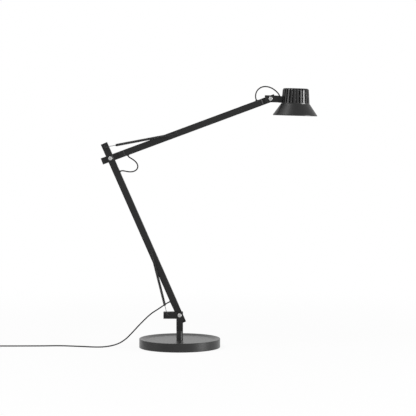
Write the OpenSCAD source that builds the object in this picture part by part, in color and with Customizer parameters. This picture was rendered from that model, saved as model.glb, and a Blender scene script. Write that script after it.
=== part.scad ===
// Balanced-arm table lamp: a round base, a swivelling foot bracket, two square arms with
// outside balance springs, and a finned lamp head.
// Millimetres. Z is up, X points from the post towards the lamp head, the front faces -Y.
// The origin is on the table, on the axis of the post.

/* [Base] */
// Diameter of the round base
base_d = 200; // [150:1:260]
// Height of the base's rim above the table
base_h = 22.6; // [18:0.1:30]
// Depth of the dished top below the rim
dish_depth = 3.5; // [1:0.5:5]
// Width of the flat rim around the dish
rim_w = 2.5; // [1.5:0.5:8]
// Width of the slope from the rim down to the floor of the dish
dish_slope_w = 12; // [5:1:30]
// Radius of the rounded lower edge of the base
base_edge_r = 1; // [0.5:0.25:4]
// Thickness of the rubber pad under the base
pad_t = 2; // [1.5:0.5:3]
// How far the pad stands out of its recess
pad_proud = 0.8; // [0.5:0.1:1.2]
// Distance from the edge of the base to the edge of the pad
pad_inset = 7; // [5:1:20]

/* [Post and foot] */
// Diameter of the round post
post_d = 16.4; // [15:0.2:20]
// Height of the top of the round post above the table
post_top_z = 41.5; // [36:0.1:44]
// Diameter of the spindle that the foot bracket turns on
spindle_d = 9; // [7:0.5:10]
// Wall of the bush around the spindle
bush_wall = 1.5; // [1:0.25:2]
// Thickness of the washer between the post and the foot bracket
swivel_washer_t = 0.8; // [0.5:0.1:1.5]
// Height of the foot pivot above the table
foot_pivot_z = 80.3; // [79:0.1:110]
// Distance from the foot pivot to the far end of the bracket's side bar
bar_reach = 40; // [38:0.5:60]
// Height of the bracket's side bar
bar_h = 16.6; // [15:0.2:20]
// Diameter of the bolt that holds the post on the base
base_bolt_d = 8; // [6:1:9]

/* [Arms] */
// Outside width of the square arm tubes
arm_w = 16.2; // [15:0.2:18]
// Wall of the arm tubes
arm_wall = 1.5; // [1:0.1:2.5]
// Distance between the foot pivot and the elbow pivot
lower_arm_len = 422.8; // [350:0.1:500]
// Distance between the elbow pivot and the head pivot
upper_arm_len = 419.2; // [350:0.1:500]
// Thickness of the flat tongues that turn inside the forks
tongue_t = 6.8; // [6:0.1:7.5]
// Length of the lower arm beyond the foot pivot
foot_stub = 20.5; // [12:0.5:21]
// Length of the upper arm beyond the elbow pivot
elbow_stub = 22.5; // [12:0.5:26]
// Length of the upper arm beyond the head pivot
head_stub = 11.4; // [9:0.2:12]
// Length of the lower arm's fork beyond the elbow pivot
fork_reach = 40; // [38:0.5:60]
// Distance from the foot pivot to where the lower arm takes its full section
foot_neck = 24; // [24:0.5:30]
// Distance from the elbow pivot to where the upper arm takes its full section
elbow_neck = 22; // [21:0.5:26]
// Distance from the head pivot to where the upper arm takes its full section
head_neck = 22; // [20:0.5:30]
// Visible length of the full-section shoulder of each tongue
shoulder_len = 4; // [3:0.5:8]
// Visible length of the shoulder of the upper arm's elbow tongue
elbow_shoulder_len = 14; // [6:0.5:18]
// Length of each fitting that is pushed into its tube
plug_in = 22; // [18:1:40]
// Width of the cable groove along each fitting
groove_w = 7; // [6:0.5:8]
// Size of the chamfer on the ends of the shoulders and forks
end_chamfer = 0.6; // [0.2:0.1:1]

/* [Pivots] */
// Diameter of the pivot screws' shoulders
pivot_d = 6; // [5:0.5:7]
// Diameter of the pivot screws' heads
screw_head_d = 9.8; // [8:0.2:11]
// Height of the pivot screws' heads
screw_head_h = 2.4; // [2:0.2:4]
// Width across flats of the hexagon socket in the screw heads
socket_af = 3; // [2.5:0.5:4]
// Width across corners of the pivot nuts
nut_d = 11.5; // [10:0.5:12]
// Height of the pivot nuts
nut_h = 4; // [3:0.5:6]
// Thickness of the friction washers in the forks
washer_t = 0.7; // [0.5:0.1:1]
// Diameter of the friction washers
washer_d = 14; // [11:0.5:15]

/* [Balance springs] */
// Distance from a pivot to the spring pin on the side of the foot or fork
spring_short = 30; // [29:0.5:34]
// Distance from a pivot to the spring pin along the arm
spring_long = 173.5; // [150:0.5:200]
// Outside diameter of the spring coils
spring_d = 6.6; // [5:0.2:7]
// Diameter of the spring wire
spring_wire = 1.4; // [1:0.1:1.6]
// Length of the straight hook from the pin to the coil
hook_len = 24.5; // [18:0.5:30]
// Number of curls drawn in each spring
curls = 25; // [12:1:25]
// Diameter of the spring pins
spring_pin_d = 3.4; // [3:0.2:4]
// Diameter of the collar on the outer end of each spring pin
spring_collar_d = 5.6; // [5:0.2:7]

/* [Lamp head] */
// Distance from the head pivot to the axis of the lamp head
head_reach = 61.2; // [60:0.1:70]
// Height of the head bracket
bracket_h = 16.8; // [16:0.2:20]
// Length of the head bracket behind the head pivot
bracket_back = 14.2; // [12:0.1:16]
// Length of the head bracket in front of the head pivot
bracket_front = 20; // [19:0.5:22]
// Height of the top of the heat sink above the head pivot
sink_top = 27.3; // [20:0.1:34]
// Height of the heat sink
sink_h = 38; // [30:0.1:45]
// Diameter of the heat sink at its top
sink_top_d = 64.4; // [60:0.2:66]
// Diameter of the heat sink at its foot
sink_foot_d = 69.6; // [67:0.2:71]
// Radius of the rounded upper edge of the heat sink
sink_edge_r = 5; // [2:0.5:7]
// Number of cooling fins
fins = 26; // [16:1:32]
// Width of the gap between two fins
fin_gap = 3.4; // [2:0.2:4]
// Depth of the gaps between the fins
fin_depth = 9; // [5:0.5:11]
// Height of the solid ring under the fins
sink_foot_h = 1.6; // [1:0.2:4]
// Diameter of the shade at its top
shade_top_d = 70.8; // [70:0.2:78]
// Diameter of the shade at its rim
shade_rim_d = 108.6; // [100:0.2:130]
// Height of the shade
shade_h = 29; // [26:0.2:40]
// Wall of the shade
shade_wall = 1.4; // [1:0.1:2]
// Height of the thicker rim of the shade
shade_rim_h = 2; // [1:0.2:3]
// Diameter of the round board that carries the light-emitting diodes
board_d = 38; // [30:1:42]
// Height of the light-mixing space under the board
mixing_h = 15; // [10:0.5:16]
// Thickness of the diffuser
diffuser_t = 2; // [1:0.25:3]
// Height of the ring that holds the diffuser
retainer_h = 2.5; // [2:0.25:4]

/* [Cord] */
// Diameter of the cord
cord_d = 3.2; // [2.5:0.1:3.4]
// Middle diameter of the stored coil of cord
coil_d = 37; // [32:1:40]
// Distance between neighbouring turns of the stored coil
coil_pitch = 3.8; // [3.7:0.1:4]
// Number of turns in each layer of the stored coil
coil_turns = 2.75; // [1.75:0.5:3.25]
// Length of the strain relief on the plug
relief_len = 22; // [20:1:30]
// Width, depth and height of the plug housing
plug_size = [30, 46, 26]; // [20:1:60]

/* [Pose] */
// Lean of the lower arm away from the lamp head, from upright
lower_lean = 23.65; // [0:0.05:45]
// Rise of the upper arm above level
upper_rise = 20.35; // [0:0.05:45]
// Downward tilt of the lamp head
head_tilt = 1.7; // [0:0.1:20]

/* [Hidden] */

$fn = 64;
fine = 180;
eps = 0.01;
black = "#2b2c2d";
black_satin = "#232425";
bright_metal = "#b9babb";
zinc_grey = "#8b8d90";
rubber_black = "#1b1b1c";
nylon = "#3a3b3c";

// running gap of a shaft in its bore, gap between still neighbours, gap beside a moving face
run_gap = 0.05;
seat_gap = 0.05;
side_gap = 0.05;

base_r = base_d / 2;
dish_z = base_h - dish_depth;
pad_r = base_r - pad_inset;
post_r = post_d / 2;
bolt_head_r = base_bolt_d * 0.8;
bolt_head_h = 4.5;
bolt_seat_z = pad_t + 1.5 + bolt_head_h;
spigot_r = base_bolt_d / 2 + 2.5;
spigot_z = bolt_seat_z + 3;
bolt_in_post = 12;

arm_half = arm_w / 2;
slot_half = tongue_t / 2 + washer_t + 2 * side_gap;
stub_corner = norm([foot_stub, arm_half]);
foot_slot_depth = stub_corner + 0.8;
stem_z = post_top_z + swivel_washer_t;
spindle_h = foot_pivot_z - foot_slot_depth - stem_z - 2;
bush_r = spindle_d / 2 + bush_wall;
// grub screw in the foot bracket, its tip, and the groove of the spindle that the tip runs in
swivel_screw_r = 2;
swivel_tip_r = 1.2;
groove_h = 3;
// the tongue leans into the side bar at the lower arm's furthest lean, with 2 degrees to spare
lean_travel = 22;
furthest_lean = lower_lean + lean_travel + 2;
bar_slot = (bar_h / 2 + arm_half * sin(furthest_lean)) * tan(furthest_lean)
    + arm_half * cos(furthest_lean) + 2;

pivot_r = pivot_d / 2;
elbow = [-lower_arm_len * sin(lower_lean), 0, foot_pivot_z + lower_arm_len * cos(lower_lean)];
head_pivot = elbow + upper_arm_len * [cos(upper_rise), 0, sin(upper_rise)];
// the fork's slot is deep enough for the upper arm's stub, swung this far towards its root
elbow_travel = 40;
stub_angle = 90 + lower_lean - upper_rise - elbow_travel;
fork_slot = elbow_stub * cos(stub_angle) + arm_half * sin(stub_angle) + 0.4;
// relief on the edges of the fork's cheeks where the upper arm comes out
relief_w = 2.6;
relief_t = 1.5;
relief_half = 6.5;
fork_root = fork_slot + 5.5;
tube_in = arm_w - 2 * arm_wall;

lower_tube_z = foot_neck + shoulder_len;
lower_tube_top = lower_arm_len - fork_root;
upper_tube_x = elbow_neck + elbow_shoulder_len;
upper_tube_end = upper_arm_len - head_neck - shoulder_len;

// places along the arms where the leads come out, from the pivot of each arm's end
supply_exit = 40;
lower_exit_at = 38.9;
elbow_exit = 42.8;
head_exit_at = 33.8;
lower_exit = lower_arm_len - lower_exit_at;
head_exit = upper_arm_len - head_exit_at;
grommet_r = cord_d / 2 + 1;
grommet_proud = 1.2;
// how far from an arm's axis a lead's inner part ends, where its part outside begins, and how
// far that part runs straight
lead_out = arm_half + grommet_proud;
loop_out = lead_out + seat_gap;
straight = 1.2;
curve_out = loop_out + straight;

spring_y = -(arm_half + 4.4);
spring_r = (spring_d - spring_wire) / 2;
wire_r = spring_wire / 2;
spring_pin_r = spring_pin_d / 2;
eye_r = spring_pin_r + wire_r + 0.3;
pin_collar_t = 1.2;
pin_end_y = spring_y - wire_r - 0.6 - pin_collar_t;
// round seats of the spring pins in the arm tubes
seat_r = 2.8;
seat_flange_t = 0.7;
seat_tail = 2;
seat_face_y = -arm_half - seat_flange_t - run_gap;
foot_pin = [-spring_short, 0, foot_pivot_z];
foot_arm_point = [0, 0, foot_pivot_z] + spring_long * [-sin(lower_lean), 0, cos(lower_lean)];
fork_pin = elbow + spring_short * [-sin(lower_lean), 0, cos(lower_lean)];
elbow_arm_point = elbow + spring_long * [cos(upper_rise), 0, sin(upper_rise)];

sink_foot_z = sink_top - sink_h;
sink_core_r = sink_foot_d / 2 - fin_depth;
rim_z = sink_foot_z - shade_h;
shade_slope = (shade_rim_d - shade_top_d) / 2 / shade_h;
shade_wall_r = shade_wall * norm([1, shade_slope]);
flange_t = 1.6;
board_t = 1.6;
diffuser_z = sink_foot_z - board_t - mixing_h;
retainer_z = diffuser_z - diffuser_t;
fit_r = 0.3;

cord_r = cord_d / 2;
cord_z = cord_r + 0.05;
fork_depth = norm([head_stub, arm_half]) + 0.8;
head_lead_x = bracket_front + 2.2;
core_r = cord_r - 0.4;
head_block_w = arm_w - 2;
head_block_h = bracket_h - 0.8;
// the block sits this far below the bracket's middle
block_drop = 0.8;
block_top = head_block_h / 2 - block_drop;
pocket_x = head_reach - sink_core_r + 2;
lead_bore_r = cord_r + 0.2;
board_hole_r = cord_r + 1;
cord_sides = 8;
form_sides = 6;

// Fall of the supply cord from the lower arm to where it first lies on the table: for each
// point the share of the way along X, of the way sideways and of the drop, chosen by hand
fall_shape = [
    [0, 0, 0], [0.037, 0.02, 0.028], [0.077, 0.07, 0.067], [0.125, 0.13, 0.116],
    [0.184, 0.2, 0.174], [0.25, 0.3, 0.236], [0.315, 0.4, 0.316], [0.381, 0.5, 0.41],
    [0.441, 0.58, 0.5], [0.494, 0.66, 0.584], [0.542, 0.73, 0.662], [0.59, 0.79, 0.736],
    [0.644, 0.84, 0.815], [0.733, 0.9, 0.905], [0.822, 0.95, 0.957], [0.911, 0.98, 0.985], [1, 1, 1]
];
// Points in the fall that move with the lower arm
lead_points = 6;
// Where the cord goes along the table from there: steps along -X, and places along Y from the
// line that it keeps to
lie_y = 15.3;
lie_shape = [
    [15, -20.5], [30, -17.5], [45, -12], [60, -7.5], [75, -3.5], [90, 0.3], [105, 2.8], [120, 3],
    [135, 1.4], [150, 0.2], [170, -0.4], [190, -0.8], [210, -1.2], [230, -1.6], [250, -1.6],
    [270, -0.9], [287, -0.2], [304, 0]
];
landing_out = 91;
landing_y = -19;
landing = [-(base_r + landing_out), lie_y + landing_y, cord_z];

// Places of the foot, the two arms and the head, each with its pivot at the origin
module at_foot() translate([0, 0, foot_pivot_z]) children();
module on_lower_arm() at_foot() rotate([0, -lower_lean, 0]) children();
module on_upper_arm() translate(elbow) rotate([0, -upper_rise, 0]) children();
module on_head() translate(head_pivot) rotate([0, head_tilt, 0]) children();

// A block between two heights along Z
module block_z(w, d, z0, z1) translate([-w / 2, -d / 2, z0]) cube([w, d, z1 - z0]);
// A block between two places along X
module block_x(x0, x1, d, h) translate([x0, -d / 2, -h / 2]) cube([x1 - x0, d, h]);
// A cylinder along Y, from y0 to y1
module rod_y(r, y0, y1) translate([0, y1, 0]) rotate([90, 0, 0]) cylinder(r = r, h = y1 - y0);

// A square bar along Z whose two ends have small chamfers
module chamfered_bar_z(w, z0, z1) {
    intersection() {
        block_z(w, w, z0, z1);
        rotate([90, 0, 0]) linear_extrude(w + 2, center = true)
            polygon(chamfered_outline(w / 2, z0, z1));
        rotate([90, 0, 90]) linear_extrude(w + 2, center = true)
            polygon(chamfered_outline(w / 2, z0, z1));
    }
}
function chamfered_outline(half, z0, z1, c = end_chamfer) = [
    [-half, z0 + c], [-half + c, z0], [half - c, z0], [half, z0 + c],
    [half, z1 - c], [half - c, z1], [-half + c, z1], [-half, z1 - c]
];

// Base and post

module base_plate() color(black_satin) difference() {
    rotate_extrude($fn = fine) polygon(concat(
        [[0, pad_proud]],
        [for (a = [-90:15:0]) [
            base_r - base_edge_r + base_edge_r * cos(a),
            pad_proud + base_edge_r + base_edge_r * sin(a)
        ]],
        [
            [base_r, base_h - end_chamfer], [base_r - end_chamfer, base_h],
            [base_r - rim_w, base_h], [base_r - rim_w - dish_slope_w, dish_z], [0, dish_z]
        ]
    ));
    translate([0, 0, -eps]) cylinder(r = pad_r + fit_r, h = pad_t + eps, $fn = fine);
    cylinder(r = bolt_head_r + 1.5, h = bolt_seat_z);
    cylinder(r = base_bolt_d / 2 + fit_r, h = base_h);
    translate([0, 0, spigot_z]) cylinder(r = spigot_r + seat_gap, h = base_h);
}

module base_pad() color(rubber_black) cylinder(r = pad_r, h = pad_t, $fn = fine);

module base_bolt() color(zinc_grey) translate([0, 0, bolt_seat_z - bolt_head_h]) difference() {
    union() {
        cylinder(r = bolt_head_r, h = bolt_head_h);
        cylinder(r = base_bolt_d / 2, h = spigot_z - bolt_seat_z + bolt_head_h + bolt_in_post);
    }
    translate([0, 0, -1]) cylinder(d = base_bolt_d * 0.87, h = bolt_head_h * 0.6 + 1, $fn = 6);
}

module post() color(black_satin) difference() {
    union() {
        translate([0, 0, spigot_z]) cylinder(r = spigot_r, h = dish_z - spigot_z + 1);
        translate([0, 0, dish_z]) cylinder(r = post_r, h = post_top_z - dish_z);
        translate([0, 0, post_top_z - 1]) difference() {
            cylinder(d = spindle_d, h = spindle_h + swivel_washer_t + 1);
            translate([0, 0, 1 + swivel_washer_t + spindle_h / 2 - groove_h / 2])
                ring(spindle_d / 2 - 0.8, spindle_d, groove_h);
        }
    }
    translate([0, 0, spigot_z - 1])
        cylinder(r = base_bolt_d / 2 + seat_gap, h = bolt_in_post + 2);
}

// A flat ring between two radii
module ring(r_in, r_out, h) difference() {
    cylinder(r = r_out, h = h);
    translate([0, 0, -1]) cylinder(r = r_in, h = h + 2);
}

module swivel_washer() color(nylon) translate([0, 0, post_top_z])
    ring(spindle_d / 2 + run_gap, post_r - 0.6, swivel_washer_t);

module swivel_bush() color(nylon) translate([0, 0, stem_z]) difference() {
    ring(spindle_d / 2 + run_gap, bush_r, spindle_h);
    translate([0, 0, spindle_h / 2]) rotate([0, 90, 0])
        cylinder(r = swivel_screw_r + 0.1, h = arm_w);
}

// Foot bracket: a square stem with a bar to its side and a fork for the lower arm

module foot_bracket() color(black) at_foot() difference() {
    rotate([90, 0, 0]) linear_extrude(arm_w, center = true) polygon([
        [-arm_half, stem_z - foot_pivot_z], [arm_half, stem_z - foot_pivot_z],
        [arm_half, bar_h / 2 - end_chamfer], [arm_half - end_chamfer, bar_h / 2],
        [-bar_reach + end_chamfer, bar_h / 2], [-bar_reach, bar_h / 2 - end_chamfer],
        [-bar_reach, -bar_h / 2 + end_chamfer], [-bar_reach + end_chamfer, -bar_h / 2],
        [-arm_half, -bar_h / 2]
    ]);
    translate([-bar_slot, -slot_half, -bar_h / 2 - 1])
        cube([bar_slot + arm_w, 2 * slot_half, bar_h + 2]);
    translate([-arm_w, -slot_half, -foot_slot_depth])
        cube([2 * arm_w, 2 * slot_half, foot_slot_depth]);
    rod_y(pivot_r + run_gap, -arm_w, arm_w);
    translate([-spring_short, 0, 0]) rod_y(spring_pin_r, -arm_w, -1);
    translate([0, 0, stem_z - foot_pivot_z - 1]) cylinder(r = bush_r + seat_gap, h = spindle_h + 1.4);
    translate([0, 0, stem_z - foot_pivot_z + spindle_h / 2])
        rotate([0, 90, 0]) cylinder(r = swivel_screw_r + seat_gap, h = arm_w);
}

// The grub screw that runs in the spindle's groove and keeps the bracket on the post
module swivel_screw() color(zinc_grey)
    translate([0, 0, stem_z + spindle_h / 2]) rotate([0, 90, 0]) difference() {
        union() {
            translate([0, 0, spindle_d / 2 - 0.6]) cylinder(r = swivel_tip_r, h = 2);
            translate([0, 0, spindle_d / 2 + 0.4])
                cylinder(r = swivel_screw_r, h = arm_half - spindle_d / 2 - 0.6);
        }
        translate([0, 0, arm_half - 2.6]) cylinder(r = swivel_screw_r * 0.55, h = arm_w, $fn = 6);
    }

// Pivot screw, nut and washers, shared by the three arm joints

module pivot_screw() color(bright_metal) difference() {
    union() {
        rod_y(pivot_r, -arm_half, arm_half);
        rod_y(pivot_r - 0.8, arm_half - 1, arm_half + nut_h + 1);
        translate([0, -arm_half, 0]) rotate([90, 0, 0]) rotate_extrude() polygon([
            [0, 0], [screw_head_d / 2, 0], [screw_head_d / 2, screw_head_h - 0.5],
            [screw_head_d / 2 - 0.5, screw_head_h], [0, screw_head_h]
        ]);
    }
    translate([0, -arm_half - screw_head_h * 0.3, 0]) rotate([90, 0, 0])
        cylinder(d = socket_af / cos(30), h = screw_head_h, $fn = 6);
}

module pivot_nut() color(zinc_grey) translate([0, arm_half + nut_h, 0]) rotate([90, 0, 0])
    difference() {
        cylinder(d = nut_d, h = nut_h, $fn = 6);
        translate([0, 0, -1]) cylinder(r = pivot_r - 0.8 + seat_gap, h = nut_h + 2);
    }

module friction_washers() color(nylon) for (side = [-1, 1])
    translate([0, side * (slot_half - washer_t / 2 - side_gap) + washer_t / 2, 0])
        rotate([90, 0, 0]) ring(pivot_r + run_gap, washer_d / 2, washer_t);

module foot_pivot_screw() at_foot() pivot_screw();
module foot_pivot_nut() at_foot() pivot_nut();
module foot_washers() at_foot() friction_washers();

// Arm fittings: each has a plug inside its tube, with a groove for the lead

// The plug of a fitting, along Z, with its groove on the side that side_sign points to along X
module tube_plug(z0, z1, side_sign) difference() {
    block_z(tube_in - 2 * seat_gap, tube_in - 2 * seat_gap, z0, z1);
    translate([side_sign > 0 ? -groove_w / 2 : -tube_in, -groove_w / 2, z0 - 1])
        cube([tube_in + groove_w / 2, groove_w, z1 - z0 + 2]);
}

module foot_tongue() color(black) on_lower_arm() difference() {
    union() {
        block_z(arm_w, tongue_t, -foot_stub, foot_neck + 1);
        chamfered_bar_z(arm_w, foot_neck, foot_neck + shoulder_len);
        tube_plug(foot_neck + shoulder_len - 1, foot_neck + shoulder_len + plug_in, -1);
    }
    rod_y(pivot_r + run_gap, -arm_w, arm_w);
}

module square_tube(z0, z1) difference() {
    chamfered_bar_z(arm_w, z0, z1);
    block_z(tube_in, tube_in, z0 - 1, z1 + 1);
}

module lower_tube() color(black) on_lower_arm() difference() {
    square_tube(lower_tube_z, lower_tube_top);
    translate([-arm_w, 0, supply_exit]) rotate([0, 90, 0]) cylinder(r = grommet_r, h = arm_w);
    translate([0, 0, lower_exit]) rotate([0, 90, 0]) cylinder(r = grommet_r, h = arm_w);
    translate([0, 0, spring_long]) rod_y(seat_r, -arm_w, 0);
}

module elbow_fork() color(black) on_lower_arm() difference() {
    union() {
        chamfered_bar_z(arm_w, lower_arm_len - fork_root, lower_arm_len + fork_reach);
        tube_plug(lower_arm_len - fork_root - plug_in, lower_arm_len - fork_root + 1, 1);
    }
    translate([-arm_w, -slot_half, lower_arm_len - fork_slot])
        cube([2 * arm_w, 2 * slot_half, 2 * fork_slot]);
    translate([0, 0, lower_arm_len]) rod_y(pivot_r + run_gap, -arm_w, arm_w);
    translate([0, 0, lower_arm_len + spring_short]) rod_y(spring_pin_r, -arm_w, -1);
    translate([0, 0, lower_arm_len - relief_half]) linear_extrude(2 * relief_half) {
        cheek_relief();
        mirror([0, 1]) cheek_relief();
    }
}
module cheek_relief() let(a = atan2(relief_t, relief_w), along = [cos(a), sin(a)]) polygon([
    [arm_half - relief_w, -arm_half] - along, [arm_half, relief_t - arm_half] + along,
    [arm_half + 3, -arm_half - 3]
]);

module elbow_pivot_screw() on_lower_arm() translate([0, 0, lower_arm_len]) pivot_screw();
module elbow_pivot_nut() on_lower_arm() translate([0, 0, lower_arm_len]) pivot_nut();
module elbow_washers() on_lower_arm() translate([0, 0, lower_arm_len]) friction_washers();

// A short bush in the tube's wall that a lead comes out of, along Z from the tube's inside
module grommet() color(rubber_black) translate([0, 0, arm_half - arm_wall]) difference() {
    union() {
        cylinder(r = grommet_r - seat_gap, h = arm_wall + eps);
        translate([0, 0, arm_wall]) cylinder(r1 = grommet_r + 0.6, r2 = grommet_r, h = grommet_proud);
    }
    translate([0, 0, -1]) cylinder(r = cord_r + seat_gap, h = arm_wall + grommet_proud + 2);
}
module supply_grommet() on_lower_arm() translate([0, 0, supply_exit]) rotate([0, -90, 0]) grommet();
module lower_grommet() on_lower_arm() translate([0, 0, lower_exit]) rotate([0, 90, 0]) grommet();
module elbow_grommet() on_upper_arm() translate([elbow_exit, 0, 0]) rotate([180, 0, 0]) grommet();
module upper_grommet() on_upper_arm() translate([head_exit, 0, 0]) grommet();

// The lead inside a tube along Z, which comes out through a bush at each end; its lower end
// leaves towards side_sign along X and its upper end the other way
lead_bend = 4;
function lead_end(z, out, inward) = concat(
    [[out * lead_out, 0, z]],
    [for (a = [0:22.5:90]) [
        out * lead_bend * (1 - sin(a)), 0, z + inward * lead_bend * (1 - cos(a))
    ]]
);
function reversed(list) = [for (i = [len(list) - 1:-1:0]) list[i]];
module inner_lead(z0, z1, side_sign)
    cord_tube(concat(lead_end(z0, side_sign, 1), reversed(lead_end(z1, -side_sign, -1))));
module lower_lead() on_lower_arm() inner_lead(supply_exit, lower_exit, -1);
module upper_lead() on_upper_arm() lay_along_x() inner_lead(elbow_exit, head_exit, 1);

// Upper arm, built along Z and laid along X; its underside faces +X before it is laid down

module lay_along_x() rotate([0, 90, 0]) children();

module elbow_tongue() color(black) on_upper_arm() lay_along_x() difference() {
    union() {
        block_z(arm_w, tongue_t, -elbow_stub, elbow_neck + 1);
        chamfered_bar_z(arm_w, elbow_neck, upper_tube_x);
        tube_plug(upper_tube_x - 1, upper_tube_x + plug_in, 1);
    }
    rod_y(pivot_r + run_gap, -arm_w, arm_w);
}

module upper_tube() color(black) on_upper_arm() lay_along_x() difference() {
    square_tube(upper_tube_x, upper_tube_end);
    translate([0, 0, elbow_exit]) rotate([0, 90, 0]) cylinder(r = grommet_r, h = arm_w);
    translate([-arm_w, 0, head_exit]) rotate([0, 90, 0]) cylinder(r = grommet_r, h = arm_w);
    translate([0, 0, spring_long]) rod_y(seat_r, -arm_w, 0);
}

module head_tongue() color(black) on_upper_arm() lay_along_x() difference() {
    union() {
        tube_plug(upper_tube_end - plug_in, upper_tube_end + 1, -1);
        chamfered_bar_z(arm_w, upper_tube_end, upper_arm_len - head_neck);
        block_z(arm_w, tongue_t, upper_arm_len - head_neck - 1, upper_arm_len + head_stub);
    }
    translate([0, 0, upper_arm_len]) rod_y(pivot_r + run_gap, -arm_w, arm_w);
}

// Spring pins. The pins on the foot and the fork are pressed in. Those on the arms screw into
// round seats in the tubes, and go with the ends of their springs

module spring_pin(y_in, y_collar) color(black) union() {
    rod_y(spring_pin_r - seat_gap, pin_end_y, y_in);
    rod_y(spring_collar_d / 2, pin_end_y, pin_end_y + pin_collar_t);
    rod_y(spring_collar_d / 2, spring_y + wire_r + 0.4, y_collar);
}
module foot_spring_pin() translate(foot_pin) spring_pin(-2, -arm_half);
module elbow_spring_pin() translate(fork_pin) spring_pin(-2, -arm_half);
module foot_arm_pin() translate(foot_arm_point) spring_pin(seat_face_y, seat_face_y);
module elbow_arm_pin() translate(elbow_arm_point) spring_pin(seat_face_y, seat_face_y);

module spring_seat() color(black) union() {
    rod_y(seat_r - seat_gap, -arm_half - seat_flange_t / 2, -arm_half + arm_wall + seat_tail);
    rod_y(seat_r + 1.4, -arm_half - seat_flange_t, -arm_half);
}
module foot_spring_seat() translate(foot_arm_point) spring_seat();
module elbow_spring_seat() translate(elbow_arm_point) spring_seat();

// Balance springs, each drawn along X from its short pin to its arm pin

function spring_span(from, to) = norm(to - from);
module along_spring(from, to) translate([from[0], spring_y, from[2]])
    rotate([0, -atan2(to[2] - from[2], to[0] - from[0]), 0]) children();

module hook() {
    rotate([90, 0, 0]) rotate_extrude() translate([eye_r, 0]) circle(r = wire_r, $fn = 24);
    translate([eye_r, 0, 0]) rotate([0, 90, 0]) cylinder(r = wire_r, h = hook_len - eye_r, $fn = 24);
}

// A helix whose radius grows from nothing over its first half curl and shrinks over its last
function coil_radius(turn) = spring_r * min(1, smooth(turn * 2), smooth((curls - turn) * 2));
function smooth(t) = t <= 0 ? 0 : t >= 1 ? 1 : t * t * (3 - 2 * t);
function spring_path(span) =
    let(x0 = hook_len, x1 = span - hook_len, end = spring_wire, body = x1 - x0 - 2 * end)
    concat(
        [[x0, 0, 0]],
        [for (i = [0:curls * curl_rings]) let(turn = i / curl_rings) [
            x0 + end + body * turn / curls,
            coil_radius(turn) * cos(360 * turn),
            coil_radius(turn) * sin(360 * turn)
        ]],
        [[x1, 0, 0]]
    );
curl_rings = 8;

module spring_coil(from, to) color(black_satin) along_spring(from, to)
    tube(spring_path(spring_span(from, to)), wire_r, form_sides, [1, 0.013, 0.017]);

module foot_spring_coil() spring_coil(foot_pin, foot_arm_point);
module foot_spring_hook() color(zinc_grey) along_spring(foot_pin, foot_arm_point) hook();
module foot_spring_end() color(zinc_grey) along_spring(foot_arm_point, foot_pin) hook();
module elbow_spring_coil() spring_coil(fork_pin, elbow_arm_point);
module elbow_spring_hook() color(zinc_grey) along_spring(fork_pin, elbow_arm_point) hook();
module elbow_spring_end() color(zinc_grey) along_spring(elbow_arm_point, fork_pin) hook();

// Round tubes swept along points, all of them or only those from first to last

function unit(v) = v / norm(v);
function heading(p, i) = unit(p[min(i + 1, len(p) - 1)] - p[max(i - 1, 0)]);
function side_of(dir, up) = unit(cross(dir, up));

module tube(p, r, sides, up, first = 0, last = undef) {
    end = last == undef ? len(p) - 1 : last;
    rings = end - first;
    points = [for (i = [first:end])
        let(dir = heading(p, i), u = side_of(dir, up), v = cross(u, dir))
        for (k = [0:sides - 1]) p[i] + r * (cos(360 * k / sides) * v + sin(360 * k / sides) * u)
    ];
    walls = [for (i = [0:rings - 1], k = [0:sides - 1])
        let(a = i * sides + k, b = i * sides + (k + 1) % sides)
        each [[a, b, b + sides], [a, b + sides, a + sides]]
    ];
    caps = [for (k = [1:sides - 2])
        each [[0, k + 1, k], [rings * sides, rings * sides + k, rings * sides + k + 1]]
    ];
    polyhedron(points, concat(walls, caps));
}

// Points halfway between the route's own points, on a smooth curve through them
function with_middles(p) = [for (i = [0:len(p) - 1]) each i == len(p) - 1 ? [p[i]] : [
    p[i],
    (9 * (p[i] + p[i + 1]) - p[max(0, i - 1)] - p[min(len(p) - 1, i + 2)]) / 16
]];

module cord_tube(p, first = 0, last = undef) color(rubber_black)
    tube(p, cord_r, cord_sides, [0.01, 1, 0.02], first, last);

// Supply cord: it falls from the lower arm to its landing place and goes on along the table
function in_lower_arm(x, z) = [
    x * cos(lower_lean) - z * sin(lower_lean), 0, foot_pivot_z + x * sin(lower_lean) + z * cos(lower_lean)
];
function in_upper_arm(x, z) = elbow + [
    x * cos(upper_rise) - z * sin(upper_rise), 0, x * sin(upper_rise) + z * cos(upper_rise)
];
function in_head(x, z) = head_pivot + [
    x * cos(head_tilt) + z * sin(head_tilt), 0, z * cos(head_tilt) - x * sin(head_tilt)
];
fall_start = in_lower_arm(-curve_out, supply_exit);
cord_route = concat([in_lower_arm(-loop_out, supply_exit)], with_middles(concat(
    [for (share = fall_shape) [
        fall_start[0] + share[0] * (landing[0] - fall_start[0]),
        share[1] * landing[1],
        fall_start[2] + share[2] * (landing[2] - fall_start[2])
    ]],
    [for (step = lie_shape) [landing[0] - step[0], lie_y + step[1], cord_z]]
)));
lead_last = 2 * lead_points - 1;

module supply_cord_lead() cord_tube(cord_route, 0, lead_last);
module supply_cord() cord_tube(cord_route, lead_last);

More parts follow.
